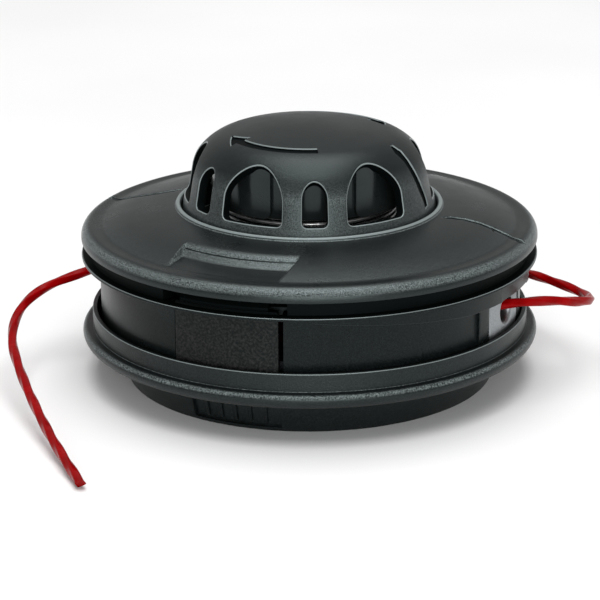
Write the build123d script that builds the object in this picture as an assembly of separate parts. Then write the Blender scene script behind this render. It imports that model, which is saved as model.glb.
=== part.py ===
from build123d import *
import os
from math import cos, degrees, pi, radians, sin, sqrt, tan

# Bump-feed trimmer head with a twist-to-load knob, standing on its machine side.
# Millimetres and degrees. Z is the spin axis and points at the knob, the base stands
# on z = 0, and the two line eyelets face +X and -X.

# Clearances
running_gap = 0.4        # between pieces that move past each other
pivot_gap = 0.05         # a pin in its eye, a spindle in its bore
seat_gap = 0.1           # a loose piece in its seat

# Heights, from the base up
lower_wall_height = 10.0
roll_height = 3.9        # rolled rim of the housing
ring_height = 4.7        # upright ring above the rolled rim
band_height = 14.3       # plain wall between the ring and the second flange
flange_thickness = 0.8
groove_height = 3.8
rim_height = 3.7
dome_rise = 4.3
collar_lip = 0.9

# Radii, most of them as steps in from the rim
rim_radius = 60.0
roll_overhang = 0.3      # the rolled rim beyond the cover's rim
ring_inset = 2.4         # upright ring
band_inset = 4.7         # plain wall
ledge = 5.5              # flat ledge between the rim and the domed top
foot_inset = 11.4        # foot of the lower wall
wall_flare = 2.9         # the lower wall leans out by this much
ring_wall = 1.2
groove_depth = 2.5
rim_draft = 0.5          # the rim's face leans in by this much
rim_round = 1.1
collar_width = 2.1
lip_chamfer = 1.2
wall = 2.0               # moulded walls and floors
overlap = 0.2            # how far joined features reach into each other

# Knob
knob_radius = 33.3
knob_taper = 1.7
knob_wall = 2.5
knob_gap = 0.8           # between the knob and the collar
knob_sink = 1.4          # knob's lower edge below the collar's lip
knob_crease = 9.7        # height of the crease above the lower edge
knob_height = 22.2
crown_rise = 2.4         # the top disc's rise above its edge
crown_inset = 11.8       # edge of the top disc, in from the knob's radius
shoulder_inset = 4.6     # middle of the rounded shoulder
shoulder_drop = 7.05
knob_turn = -2.2         # angle at which the knob was left
window_count = 6
window_sill = 3.3
big_window_half = 15.1
big_window_drop = 5.1    # top of the arch below the knob's top
small_window_half = 5.8
small_window_drop = 7.9
window_corner = 1.4
bump_travel = 4.5
bump_margin = 1.5        # room left under the knob at the end of its travel

# Spring cup under the knob
skirt_inset = 7.5        # panels round the spring, in from the knob's radius
skirt_wall = 1.2
sleeve_wall = 0.6        # plain sleeve between the panels
skirt_low = 1.7
skirt_gap_azimuth = -60.0
skirt_gap_half = 25.0
cap_drop = 6.9           # the face that the spring pushes on, below the knob's top

# Spring, washers and screw
wire = 1.0
spring_play = 0.6        # between the spring and the sleeve
spring_turns = 14
washer_thickness = 0.8
washer_rim = 0.3         # washer beyond the wire on each side
screw_radius = 1.9
screw_head_radius = 3.6
screw_head_height = 2.4
screw_length = 9.0

# Spool and line
neck_play = 2.3          # between the spring and the socket for the neck
neck_wall = 3.0
neck_height = 20.5       # neck above the spool's upper flange
spool_wall = 4.2         # wall of the core
spool_play = 2.3         # between the spool and the skirt
winding_drop = 15.0      # how far the winding lies below the spool's edge
line_diameter = 2.4
cam_count = 6
cam_height = 1.5
cam_span = 24.0
cam_inner = 23.0
cam_width = 10.0

# Hub and threaded insert
post_radius = 12.5
post_height = 13.5
arbor_flats = 17.0
arbor_height = 10.0
arbor_bore = 4.32        # minor radius of the M10 x 1.25 left-hand thread
arbor_shoulder = 3.0
arbor_passage = 6.0
rib_count = 8

# Latches
latch_azimuth = -87.0
latch_half = 14.3
latch_seam = 0.45        # narrow seam on one side of the panel, in degrees
latch_slit = 1.2         # wide slit on its other side, in degrees
latch_proud = 0.6
latch_thickness = 2.0
latch_eye = 1.9
latch_pin = 1.2
latch_foot = 8.0         # half width of the foot
ear_width = 2.4
window_half = 16.8       # latch window in the groove
hook_half = 12.0
hook_reach = 0.9
eye_wall = 1.2           # moulding above the pin's hole
leaf_thickness = 0.4     # leaf spring behind each latch
leaf_height = 2.0
leaf_half = 19.3
clip_wall = 1.0
clip_hold = 2.0          # overlap of a clip on the leaf, in degrees
clip_end = 1.2
pocket_turn = -2.0       # finger pocket above each latch, a little to one side of it
pocket_width = 31.0
pocket_length = 10.7
pocket_slope = 2.9       # run of the sloping back wall
pocket_rise = 3.1        # its height
pocket_step = 0.3        # fine step across it
pocket_bed_depth = 3.2
mark_half = 14.0         # recess in the lower wall below each latch
mark_depth = 0.9
mark_low = 1.0
mark_ribs = 5
grip_span = 1.0
grip_inset = 0.3

# Eyelets
eyelet_width = 20.0
eyelet_height = 10.0
eyelet_corner = 3.0
eyelet_bore = 3.3
eyelet_flare = 1.1
eyelet_flange = 1.2
eyelet_proud = 0.5
eyelet_lift = 0.2        # above the housing's ring
eyelet_sweep = 60.0
guard_width = 4.5        # strip beside each eyelet
guard_proud = 0.7
ramp_span = 64.0         # the skirt under the flange deepens over this angle
ramp_depth = 4.2
ramp_reach = 3.3

# Heights and radii worked out from these
roll_radius = rim_radius + roll_overhang
ring_radius = rim_radius - ring_inset
band_radius = rim_radius - band_inset
dome_radius = rim_radius - ledge
base_radius = rim_radius - foot_inset
pocket_radius = dome_radius - pocket_length
knob_edge_radius = knob_radius - crown_inset
skirt_radius = knob_radius - skirt_inset
sleeve_inner = skirt_radius - skirt_wall - sleeve_wall
spring_radius = sleeve_inner - spring_play - wire / 2
socket_inner = spring_radius - wire / 2 - neck_play - wall
neck_radius = socket_inner - seat_gap
roll_top = lower_wall_height + roll_height
ring_top = roll_top + ring_height
flange_low = ring_top + band_height
flange_top = flange_low + flange_thickness
rim_low = flange_top + groove_height
rim_top = rim_low + rim_height
dome_top = rim_top + dome_rise
collar_top = dome_top + collar_lip
channel = lower_wall_height + 0.9 * wall
band_inner = band_radius - wall
groove_radius = rim_radius - groove_depth
collar_inner = knob_radius + knob_gap
collar_outer = collar_inner + collar_width
knob_low = collar_top - knob_sink
knob_top = knob_low + knob_height
seat_top = knob_low - bump_travel - bump_margin
cover_under = seat_top - wall
upper_flange_top = cover_under - 2 * cam_height - running_gap
neck_top = upper_flange_top + neck_height
lower_flange_low = channel + bump_travel + 1.5 * running_gap
spool_radius = band_inner - spool_play
winding_radius = spool_radius - winding_drop
core_radius = post_radius + pivot_gap + spool_wall
winding_low = lower_flange_low + wall + seat_gap
winding_high = upper_flange_top - wall - seat_gap
eyelet_z = ring_top + eyelet_height / 2 + eyelet_lift
floor_top = lower_flange_low - bump_travel - 2 * cam_height - running_gap
floor_low = floor_top - wall
pin_z = channel + latch_eye + running_gap
pin_r = band_inner + seat_gap
foot_top = pin_z + latch_pin + eye_wall + running_gap
foot_head = foot_top + latch_thickness / 2
leaf_low = foot_head + running_gap
leaf_high = leaf_low + leaf_height
leaf_outer = band_inner - seat_gap
leaf_inner = leaf_outer - leaf_thickness
cap_low = knob_top - cap_drop
spring_low = seat_top + washer_thickness
spring_high = cap_low - seat_gap - washer_thickness


def turned(*edges):
    """A solid of revolution whose half section is drawn in r and z."""
    outline = edges[0]
    for edge in edges[1:]:
        outline += edge
    return revolve(make_face(Plane.XZ * outline), Axis.Z)


def tube(r_in, r_out, z_low, z_high):
    """A plain round tube."""
    return turned(Polyline((r_in, z_low), (r_out, z_low), (r_out, z_high), (r_in, z_high), close=True))


def sector(points, start, span):
    """A closed half section turned through a part of the circle."""
    face = make_face(Plane.XZ * Polyline(*points, close=True))
    return Rot(0, 0, start) * revolve(face, Axis.Z, span)


def block(r_in, r_out, z_low, z_high, start, span):
    """A part of a plain ring."""
    points = [(r_in, z_low), (r_out, z_low), (r_out, z_high), (r_in, z_high)]
    return sector(points, start, span)


def both(*solids):
    """Features and their twins half a turn away."""
    return [Rot(0, 0, turn) * solid for turn in (0, 180) for solid in solids]


def cam_ring(z, direction):
    """Sloped teeth of the index ring, rising or hanging from a flat face."""
    length = (cam_inner + cam_width / 2) * radians(cam_span)
    tooth = make_face(Polyline((0, -overlap), (length, -overlap), (length, cam_height), (0, 0), close=True))
    solid = extrude(Plane.YZ.offset(cam_inner) * tooth, cam_width)
    if direction < 0:
        solid = Rot(180, 0, 0) * solid
    return [Rot(0, 0, 360 / cam_count * i) * Pos(0, 0, z) * solid for i in range(cam_count)]


def housing():
    """Machine-side housing: lower wall, rolled rim, upright ring, hub post and latch ears."""
    inner_foot = base_radius - wall
    flare_at_floor = wall_flare * floor_low / lower_wall_height
    wall_head = base_radius + wall_flare
    well = wall_head - 0.85 * wall
    nose = roll_height * 0.6
    lip = roll_height * 0.2
    body = turned(
        Polyline((0, floor_low), (inner_foot + flare_at_floor, floor_low), (inner_foot, 0),
                 (base_radius, 0), (wall_head, lower_wall_height), (roll_radius - nose, lower_wall_height)),
        RadiusArc((roll_radius - nose, lower_wall_height), (roll_radius, lower_wall_height + nose), -nose),
        Line((roll_radius, lower_wall_height + nose), (roll_radius, roll_top - lip)),
        RadiusArc((roll_radius, roll_top - lip), (roll_radius - lip, roll_top), -lip),
        Polyline((roll_radius - lip, roll_top), (ring_radius, roll_top), (ring_radius, ring_top),
                 (ring_radius - ring_wall, ring_top), (ring_radius - ring_wall, channel), (well, channel),
                 (well, floor_top), (0, floor_top), (0, floor_low)),
    )
    hub_radius = post_radius + wall
    body += Pos(0, 0, floor_low / 2) * Cylinder(hub_radius, floor_low)
    body += Pos(0, 0, floor_top + post_height / 2) * Cylinder(post_radius, post_height)
    rib_length = inner_foot - hub_radius + wall
    rib_middle = hub_radius - wall / 2 + rib_length / 2
    rib = Pos(rib_middle, 0, 0.62 * floor_low) * Box(rib_length, wall, 0.76 * floor_low)
    body += [Rot(0, 0, 360 / rib_count * (i + 0.5)) * rib for i in range(rib_count)]
    body += cam_ring(floor_top, 1)
    pocket_height = floor_top + post_height - arbor_shoulder
    hexagon = RegularPolygon(arbor_flats / 2 + seat_gap, 6, major_radius=False)
    body -= Pos(0, 0, arbor_shoulder) * extrude(hexagon, pocket_height)
    body -= Pos(0, 0, arbor_shoulder / 2) * Cylinder(arbor_passage, arbor_shoulder)
    body -= both(mark_recess())
    body += both(*mark_grip())
    body += both(*latch_ears())
    return body


def wall_strip(low, high, inset, outset, start, span):
    """A band of the sloped lower wall between two depths, measured from its outer face."""
    slope = wall_flare / lower_wall_height
    foot = base_radius + slope * low
    head = base_radius + slope * high
    points = [(foot - inset, low), (foot + outset, low), (head + outset, high), (head - inset, high)]
    return sector(points, start, span)


def mark_recess():
    """Shallow bare recess in the lower wall, below a latch."""
    start = latch_azimuth - mark_half
    return wall_strip(mark_low, lower_wall_height, mark_depth, mark_depth, start, 2 * mark_half)


def mark_grip():
    """Plain grip ribs standing in the recess."""
    pitch = 2 * mark_half / (mark_ribs + 1)
    low = mark_low + mark_depth
    first = latch_azimuth - mark_half - grip_span / 2
    starts = [first + pitch * (i + 1) for i in range(mark_ribs)]
    return [wall_strip(low, lower_wall_height, mark_depth + overlap, -grip_inset, start, grip_span)
            for start in starts]


def across(azimuth, r, z, side):
    """A frame at a latch: X points outwards, Y along the pin, Z up."""
    return Rot(0, 0, azimuth) * Pos(r, side, z)


def latch_ears():
    """Two ears in the channel that hold the latch pin."""
    thick = 1.6 * latch_eye
    height = pin_z - channel + latch_pin + eye_wall
    ears = []
    for side in (-1, 1):
        offset = side * (latch_foot + running_gap + ear_width / 2)
        place = across(latch_azimuth, pin_r, channel + height / 2, offset)
        ears.append(place * Box(thick, ear_width, height))
    hole = across(latch_azimuth, pin_r, pin_z, 0) * Rot(90, 0, 0) * Cylinder(latch_pin, 4 * latch_foot)
    return [ear - hole for ear in ears]


def latch_pin_solid():
    """Steel pin between the ears."""
    length = 2 * (latch_foot + running_gap + ear_width)
    return across(latch_azimuth, pin_r, pin_z, 0) * Rot(90, 0, 0) * Cylinder(latch_pin, length)


def latch_lever():
    """Latch: curved push panel, hook that reaches into the cover's window, and hinge foot."""
    outer = band_radius + latch_proud
    inner = outer - latch_thickness
    head = flange_top + overlap
    panel = block(inner, outer, foot_top, head, latch_azimuth - latch_half, 2 * latch_half)
    hook_low = head - 1.0
    hook_high = rim_low - 1.0
    hook = sector([(inner, hook_low), (outer, hook_low), (outer, head), (outer + hook_reach, head + 0.4),
                   (outer + hook_reach, head + 1.2), (outer - 0.6, hook_high), (inner, hook_high)],
                  latch_azimuth - hook_half, 2 * hook_half)
    foot_height = foot_head - pin_z
    foot_place = across(latch_azimuth, pin_r, pin_z + foot_height / 2, 0)
    foot = foot_place * Box(1.4 * latch_eye, 2 * latch_foot, foot_height)
    eye_place = across(latch_azimuth, pin_r, pin_z, 0) * Rot(90, 0, 0)
    eye = eye_place * Cylinder(latch_eye, 2 * latch_foot)
    bore = eye_place * Cylinder(latch_pin + pivot_gap, 3 * latch_foot)
    return panel + hook + foot + eye - bore


def leaf_spring():
    """Leaf of spring steel across the back of a latch, which pushes the latch out again."""
    return block(leaf_inner, leaf_outer, leaf_low, leaf_high, latch_azimuth - leaf_half, 2 * leaf_half)


def leaf_clips():
    """Clips inside the skirt that hold the two ends of a leaf spring."""
    inner = leaf_inner - seat_gap
    span = clip_hold + clip_end
    starts = (latch_azimuth - leaf_half - clip_end, latch_azimuth + leaf_half - clip_hold)
    half = leaf_half + degrees(seat_gap / leaf_inner)
    hollow_low = leaf_low - seat_gap
    hollow = block(inner, band_inner, hollow_low, leaf_high + seat_gap, latch_azimuth - half, 2 * half)
    low = leaf_low - clip_wall
    high = leaf_high + clip_wall
    outer = band_inner + overlap
    return [block(inner - clip_wall, outer, low, high, start, span) - hollow for start in starts]


def arbor_nut():
    """Hexagonal steel insert with the drive thread's bore."""
    nut = extrude(RegularPolygon(arbor_flats / 2, 6, major_radius=False), arbor_height)
    nut = chamfer(nut.edges().filter_by(Axis.Z, reverse=True), 0.5)
    nut -= Pos(0, 0, arbor_height / 2) * Cylinder(arbor_bore, arbor_height)
    return Pos(0, 0, arbor_shoulder) * nut


def cover_shell():
    """The cover's turned form: skirt, two flanges with a groove between, dome, collar and spring floor."""
    lip_inner = (collar_inner + 0.1 * collar_width, collar_top - 0.4 * lip_chamfer)
    lip_crest = (collar_inner + 0.5 * collar_width, collar_top)
    lip_outer = (collar_outer, dome_top)
    dome_foot = (dome_radius, rim_top + overlap)
    dome_mid = ((collar_outer + dome_radius) / 2, rim_top + 0.64 * dome_rise)
    outer_top = (rim_radius - rim_draft, rim_top - rim_round)
    inner_top = (rim_radius - rim_draft - rim_round, rim_top)
    neck_hole = neck_radius + running_gap
    under_dome = dome_top - 1.2 * wall
    return turned(
        Polyline((band_inner, channel), (band_radius, channel), (band_radius, flange_low),
                 (rim_radius, flange_low), (rim_radius, flange_top), (groove_radius, flange_top),
                 (groove_radius, rim_low), (rim_radius, rim_low), outer_top),
        RadiusArc(outer_top, inner_top, -rim_round),
        Line(inner_top, dome_foot),
        ThreePointArc(dome_foot, dome_mid, lip_outer),
        ThreePointArc(lip_outer, lip_crest, lip_inner),
        Polyline(lip_inner, (collar_inner, collar_top - lip_chamfer), (collar_inner, seat_top),
                 (neck_hole, seat_top), (neck_hole, cover_under), (collar_inner + 0.6 * wall, cover_under),
                 (collar_outer, under_dome), (band_inner, rim_top - wall), (band_inner, channel)),
    )


def pocket_slab(width, points):
    """A part of a turned section, cut to a straight-sided width at a finger pocket."""
    azimuth = latch_azimuth + pocket_turn
    half = degrees(width / pocket_radius)
    slab = Pos(rim_radius, 0, dome_top) * Box(2 * rim_radius, width, 2 * dome_top)
    return sector(points, azimuth - half, 2 * half) & Rot(0, 0, azimuth) * slab


def pocket_bed():
    """Thicker moulding under a finger pocket."""
    low = rim_top - pocket_bed_depth
    inner = pocket_radius - wall / 2
    points = [(inner, low), (band_radius, low), (band_radius, rim_top - 0.2 * wall), (inner, rim_top + wall)]
    return pocket_slab(pocket_width + wall, points)


def pocket_cut():
    """Finger pocket: back wall in two slopes with a fine step, and a floor that runs out to the ledge."""
    step_radius = pocket_radius + 0.26 * pocket_slope
    step_height = rim_top + 0.66 * pocket_rise
    outer = dome_radius + 0.1 * ledge
    over = rim_top + 2 * pocket_rise
    points = [(pocket_radius - pocket_slope / 2, over), (pocket_radius, rim_top + pocket_rise),
              (step_radius, step_height), (step_radius + pocket_step / 2, step_height - pocket_step),
              (pocket_radius + pocket_slope, rim_top + pocket_step), (outer, rim_top), (outer, over)]
    return pocket_slab(pocket_width, points)


def latch_slot():
    """Opening in the skirt for a latch, passing behind the second flange."""
    start = latch_azimuth - latch_half - latch_seam
    span = 2 * latch_half + latch_seam + latch_slit
    clear = band_radius + latch_proud + running_gap + hook_reach
    return block(band_inner - wall, clear, channel - wall, rim_low - running_gap, start, span)


def latch_window():
    """Window in the groove that a latch's hook reaches into."""
    start = latch_azimuth - window_half
    return block(band_inner - wall, rim_radius + wall, flange_top, rim_low - overlap, start, 2 * window_half)


def flange_ramp():
    """Skirt under the second flange that deepens towards an eyelet."""
    outer = band_radius + ramp_reach
    low = flange_low - ramp_depth
    ramp = block(band_radius - overlap, outer, low, flange_low + overlap, -ramp_span, ramp_span)
    middle = radians(-ramp_span / 2)
    chord = 2 * band_radius * sin(radians(ramp_span / 2))
    slope = ramp_depth / chord
    normal = (-sin(middle) * slope, cos(middle) * slope, 1)
    origin = (band_radius * cos(middle), band_radius * sin(middle), flange_low - ramp_depth / 2)
    reach = 4 * band_radius
    return ramp - Plane(origin=origin, z_dir=normal) * Pos(0, 0, -reach / 2) * Box(reach, reach, reach)


def eyelet_guard():
    """Raised upright strips on each side of an eyelet."""
    near = degrees((eyelet_width / 2 + seat_gap) / band_radius)
    span = degrees(guard_width / band_radius)
    inner = band_radius - overlap
    outer = band_radius + guard_proud
    high = flange_low + overlap
    return [block(inner, outer, roll_top, high, start, span) for start in (near, -near - span)]


def eyelet_plug(grow):
    """Rounded bar through the skirt at an eyelet, larger than the eyelet by a margin all round."""
    shape = RectangleRounded(eyelet_width + 2 * grow, eyelet_height + 2 * grow, eyelet_corner + grow)
    return extrude(Plane.YZ * Pos(0, eyelet_z) * shape, 2 * rim_radius)


def cover():
    """Cover with its skirt, latch windows, finger pockets, eyelet slots and index teeth."""
    body = cover_shell()
    body += both(pocket_bed())
    body -= both(pocket_cut())
    body += both(*eyelet_guard())
    body += both(flange_ramp())
    body -= both(eyelet_plug(seat_gap))
    body -= both(latch_slot())
    body -= both(latch_window())
    body += both(*leaf_clips())
    body += cam_ring(cover_under, -1)
    return body


def flared_hole(x_in, x_out):
    """Cutter for an eyelet's hole, which opens out in a round lip at both ends."""
    mouth = eyelet_bore + eyelet_flare
    start, end = x_in - eyelet_flare, x_out + eyelet_flare
    outline = Polyline((x_out, mouth), (end, mouth), (end, 0), (start, 0), (start, mouth), (x_in, mouth))
    outline += RadiusArc((x_in, mouth), (x_in + eyelet_flare, eyelet_bore), eyelet_flare)
    outline += Line((x_in + eyelet_flare, eyelet_bore), (x_out - eyelet_flare, eyelet_bore))
    outline += RadiusArc((x_out - eyelet_flare, eyelet_bore), (x_out, mouth), eyelet_flare)
    hole = revolve(make_face(Plane.XZ * outline), Axis.X)
    return Pos(0, 0, eyelet_z) * hole


def eyelet():
    """Metal eyelet: a curved plate with a flared hole, held by a flange inside the skirt."""
    outer = band_radius + eyelet_proud
    back = band_inner - seat_gap
    front = back - eyelet_flange
    start = -eyelet_sweep / 2
    plate = block(back - overlap, outer, 0, collar_top, start, eyelet_sweep) & eyelet_plug(0)
    flange = block(front, back, 0, collar_top, start, eyelet_sweep) & eyelet_plug(eyelet_flange)
    return plate + flange - flared_hole(front, outer)


def knob_section(inset):
    """Half section of the knob's outer form, moved in by a wall's thickness."""
    low = (knob_radius - inset, knob_low)
    crease = (knob_radius - knob_taper - inset, knob_low + knob_crease)
    shoulder = (knob_radius - shoulder_inset - 0.72 * inset, knob_top - shoulder_drop - 0.7 * inset)
    edge = (knob_edge_radius - 0.4 * inset, knob_top - crown_rise - inset)
    top = (0, knob_top - inset)
    rise = top[1] - edge[1]
    crown_radius = (edge[0] ** 2 + rise ** 2) / (2 * rise)
    crown = (edge[0] / 2, top[1] - crown_radius + sqrt(crown_radius ** 2 - (edge[0] / 2) ** 2))
    return turned(
        Line(low, crease),
        ThreePointArc(crease, shoulder, edge),
        ThreePointArc(edge, crown, top),
        Polyline(top, (0, knob_low), low),
    )


def arch(half_angle, drop):
    """Arched window shape in the plane across the knob's wall, cut inwards to the inner panels."""
    height = knob_height - window_sill - drop
    half = knob_radius * sin(radians(half_angle))
    rise = min(0.6 * height, 1.15 * half)
    side = height - rise
    jamb = Pos(0, side / 2) * Rectangle(2 * half, side)
    jamb = fillet(jamb.vertices().group_by(Axis.Y)[0], window_corner)
    shape = jamb + Pos(0, side) * Ellipse(half, rise)
    reach = knob_radius - skirt_radius
    sill = Plane.YZ.offset(skirt_radius + skirt_wall / 2) * Pos(0, knob_low + window_sill)
    return extrude(sill * shape, reach)


def knob():
    """Bump knob: domed shell with arched windows and a boss for its screw."""
    body = knob_section(0) - knob_section(knob_wall)
    big = arch(big_window_half, big_window_drop)
    small = arch(small_window_half, small_window_drop)
    pitch = 360 / window_count
    body -= [Rot(0, 0, pitch * (i + 0.5)) * big for i in range(window_count)]
    body -= [Rot(0, 0, pitch * i) * small for i in range(window_count) if i % (window_count // 2)]
    screw_hole = screw_radius + pivot_gap
    body += tube(screw_hole, screw_radius + wall, neck_top + seat_gap, knob_top - knob_wall / 2)
    return Rot(0, 0, knob_turn) * body


def spring_cup():
    """Smooth cup under the knob: sleeve and panels round the spring, its thrust face, the neck's socket."""
    skirt = tube(sleeve_inner, skirt_radius, knob_low + skirt_low, knob_top)
    start = skirt_gap_azimuth - skirt_gap_half
    gap_inner = skirt_radius - skirt_wall
    gap = block(gap_inner, skirt_radius + skirt_wall, knob_low, cap_low, start, 2 * skirt_gap_half)
    skirt -= both(gap)
    socket = tube(socket_inner, socket_inner + wall, seat_top + bump_travel + running_gap, knob_top)
    cap = tube(socket_inner, skirt_radius, cap_low, knob_top)
    body = (skirt + socket + cap) & knob_section(knob_wall + seat_gap)
    return Rot(0, 0, knob_turn) * body


def knob_screw():
    """Pan head screw from inside the spool's neck into the knob."""
    under = neck_top - wall
    head = Pos(0, 0, under - screw_head_height / 2) * Cylinder(screw_head_radius, screw_head_height)
    head = fillet(head.edges().group_by(Axis.Z)[0], 0.4 * screw_head_height)
    shank = Pos(0, 0, under + screw_length / 2) * Cylinder(screw_radius, screw_length)
    return head + shank


def spool():
    """Line spool: two flanges, core, neck up into the knob, index teeth and the line channel."""
    bore = post_radius + pivot_gap
    neck_inner = neck_radius - neck_wall
    lower_top = lower_flange_low + wall
    upper_low = upper_flange_top - wall
    body = turned(Polyline(
        (bore, lower_flange_low), (spool_radius, lower_flange_low), (spool_radius, lower_top),
        (core_radius, lower_top), (core_radius, upper_low), (spool_radius, upper_low),
        (spool_radius, upper_flange_top), (neck_radius, upper_flange_top), (neck_radius, neck_top),
        (screw_radius + seat_gap, neck_top), (screw_radius + seat_gap, neck_top - wall),
        (neck_inner, neck_top - wall), (neck_inner, upper_flange_top), (bore, upper_flange_top - wall),
        close=True))
    body += cam_ring(upper_flange_top, 1)
    body += cam_ring(lower_flange_low, -1)
    channel_z = (winding_low + winding_high) / 2
    body -= Pos(0, 0, channel_z) * Rot(0, 90, 0) * Cylinder(0.8 * line_diameter, 2 * core_radius + wall)
    return body


def line_winding():
    """The wound line: one ridged solid, a ridge for each turn across the spool."""
    inner = core_radius + seat_gap
    turns = int((winding_high - winding_low) / line_diameter)
    pitch = (winding_high - winding_low) / turns
    edges = [Polyline((winding_radius, winding_low), (inner, winding_low), (inner, winding_high),
                      (winding_radius, winding_high))]
    for i in range(turns):
        low = winding_low + pitch * i
        edges.append(ThreePointArc((winding_radius, low), (winding_radius + 0.4 * pitch, low + pitch / 2),
                                   (winding_radius, low + pitch)))
    return turned(*edges)


def spring():
    """Compression spring between the cover's floor and the knob."""
    height = spring_high - spring_low - wire - 2 * seat_gap
    path = Helix(height / spring_turns, height, spring_radius)
    coil = sweep(Plane(path @ 0, z_dir=path % 0) * Circle(wire / 2), path)
    return Pos(0, 0, spring_low + wire / 2 + seat_gap) * coil


def washer(z):
    """Flat steel ring under or over the spring."""
    half = wire / 2 + washer_rim
    return tube(spring_radius - half, spring_radius + half, z, z + washer_thickness)


# Routes of the two free line tails, from the winding out through an eyelet and down
right_route = [
    (36.3, -12.4, 23.8), (45.4, -6.6, 23.8), (55.2, 1.2, 23.8), (63, 11.2, 24), (68.5, 21.4, 23.4),
    (68.6, 31.4, 22.4), (62.8, 39.6, 21.6), (54.6, 44.2, 21), (45.4, 48.6, 19.6), (36.2, 56.4, 16),
    (28, 68, 10.6), (21, 82, 5.4), (15, 95, 1.6),
]
left_route = [
    (-36.3, 12.4, 23.8), (-45.4, 6.6, 23.8), (-55.2, -1.2, 23.6), (-63.6, -10, 21.6), (-70.6, -19.6, 19),
    (-71, -31.4, 16.2), (-65.7, -45, 12.8), (-56, -60, 8.8), (-44.4, -74.4, 5.4), (-30, -88, 2.9),
    (-14, -99.6, 1.4),
]


def corner_radii(points):
    """The largest rounding that each corner of a route has room for."""
    radii = []
    for before, corner, after in zip(points, points[1:], points[2:]):
        first = Vector(corner) - Vector(before)
        second = Vector(after) - Vector(corner)
        shorter = min(first.length, second.length)
        radii.append(0.45 * shorter / tan(radians(first.get_angle(second) / 2)))
    return radii


def line_tail(points):
    """A free tail of line: a round tube along a route with rounded corners."""
    path = FilletPolyline(*points, radius=corner_radii(points))
    tail = sweep(Plane(path @ 0, z_dir=path % 0) * Circle(line_diameter / 2), path)
    share = tail.volume / (path.length * pi * line_diameter ** 2 / 4)
    radii = [round(radius, 1) for radius in corner_radii(points)]
    print(f"tail length {path.length:.1f}, volume share {share:.4f}, radii {radii}")
    return tail


def main():
    half_turn = Rot(0, 0, 180)
    latch = latch_lever()
    pin = latch_pin_solid()
    leaf = leaf_spring()
    eye = eyelet()
    nodes = {
        "housing": housing(),
        "arbor_nut": arbor_nut(),
        "cover": cover(),
        "latch_front": latch,
        "latch_back": half_turn * latch,
        "latch_pin_front": pin,
        "latch_pin_back": half_turn * pin,
        "eyelet_right": eye,
        "eyelet_left": half_turn * eye,
        "spring_seat": washer(seat_top),
        "spring": spring(),
        "thrust_washer": washer(spring_high),
        "latch_spring_front": leaf,
        "latch_spring_back": half_turn * leaf,
        "knob": knob(),
        "spring_cup": spring_cup(),
        "knob_screw": knob_screw(),
        "spool": spool(),
        "line_winding": line_winding(),
        "line_right": line_tail(right_route),
        "line_left": line_tail(left_route),
    }
    os.makedirs("parts", exist_ok=True)
    for name, solid in nodes.items():
        export_step(solid, f"parts/{name}.step")


main()
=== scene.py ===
"""Looks of a bump-feed trimmer head: grained black mouldings, metal eyelets, red twisted line."""
from bisect import bisect
from collections import namedtuple
from math import cos, degrees, hypot, pi, radians, sin, sqrt, tan

import bmesh
import bpy
from mathutils import Matrix, Vector


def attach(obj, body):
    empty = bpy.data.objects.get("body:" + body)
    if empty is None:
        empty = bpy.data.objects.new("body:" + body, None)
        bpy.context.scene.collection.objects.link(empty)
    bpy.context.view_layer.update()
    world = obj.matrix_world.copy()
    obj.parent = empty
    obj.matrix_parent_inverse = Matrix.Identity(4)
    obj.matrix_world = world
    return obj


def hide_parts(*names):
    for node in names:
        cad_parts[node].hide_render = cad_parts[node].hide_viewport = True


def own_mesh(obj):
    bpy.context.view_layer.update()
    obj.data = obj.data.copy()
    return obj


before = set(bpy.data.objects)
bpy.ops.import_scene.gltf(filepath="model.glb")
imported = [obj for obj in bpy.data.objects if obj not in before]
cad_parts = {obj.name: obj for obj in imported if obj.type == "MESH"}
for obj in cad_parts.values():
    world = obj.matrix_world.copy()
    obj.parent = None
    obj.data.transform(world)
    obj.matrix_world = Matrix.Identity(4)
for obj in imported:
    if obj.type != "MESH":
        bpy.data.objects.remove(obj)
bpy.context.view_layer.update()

# Sizes of the object, in millimetres and degrees. They follow its CAD source, but for a few that are drawn
# closer to the photograph: the collar's gap and width, the cup's foot, the latch seam, the pocket's step and
# the ramp. Small roundings, marks and the eyelet plate's foot are only here
MM = 0.001
seat_gap = 0.1
running_gap = 0.4
lower_wall_height = 10.0
roll_height = 3.9
roll_share = 0.6         # share of the roll below its widest line
ring_height = 4.7
band_height = 14.3
flange_thickness = 0.8
groove_height = 3.8
rim_height = 3.7
rim_foot = 0.7           # straight part of the rim under its round bead
valley_inset = 4.0       # shallow valley between the bead and the dome
valley_width = 0.8
valley_depth = 0.12
dome_rise = 4.3
collar_lip = 0.9
rim_radius = 60.0
roll_radius = 60.3
ring_radius = 57.6
ring_wall = 1.2
band_radius = 55.3
dome_radius = 54.5
base_radius = 48.6
wall_flare = 2.9
groove_depth = 2.5
collar_width = 1.4
wall = 2.0
bump_travel = 4.5

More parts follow.
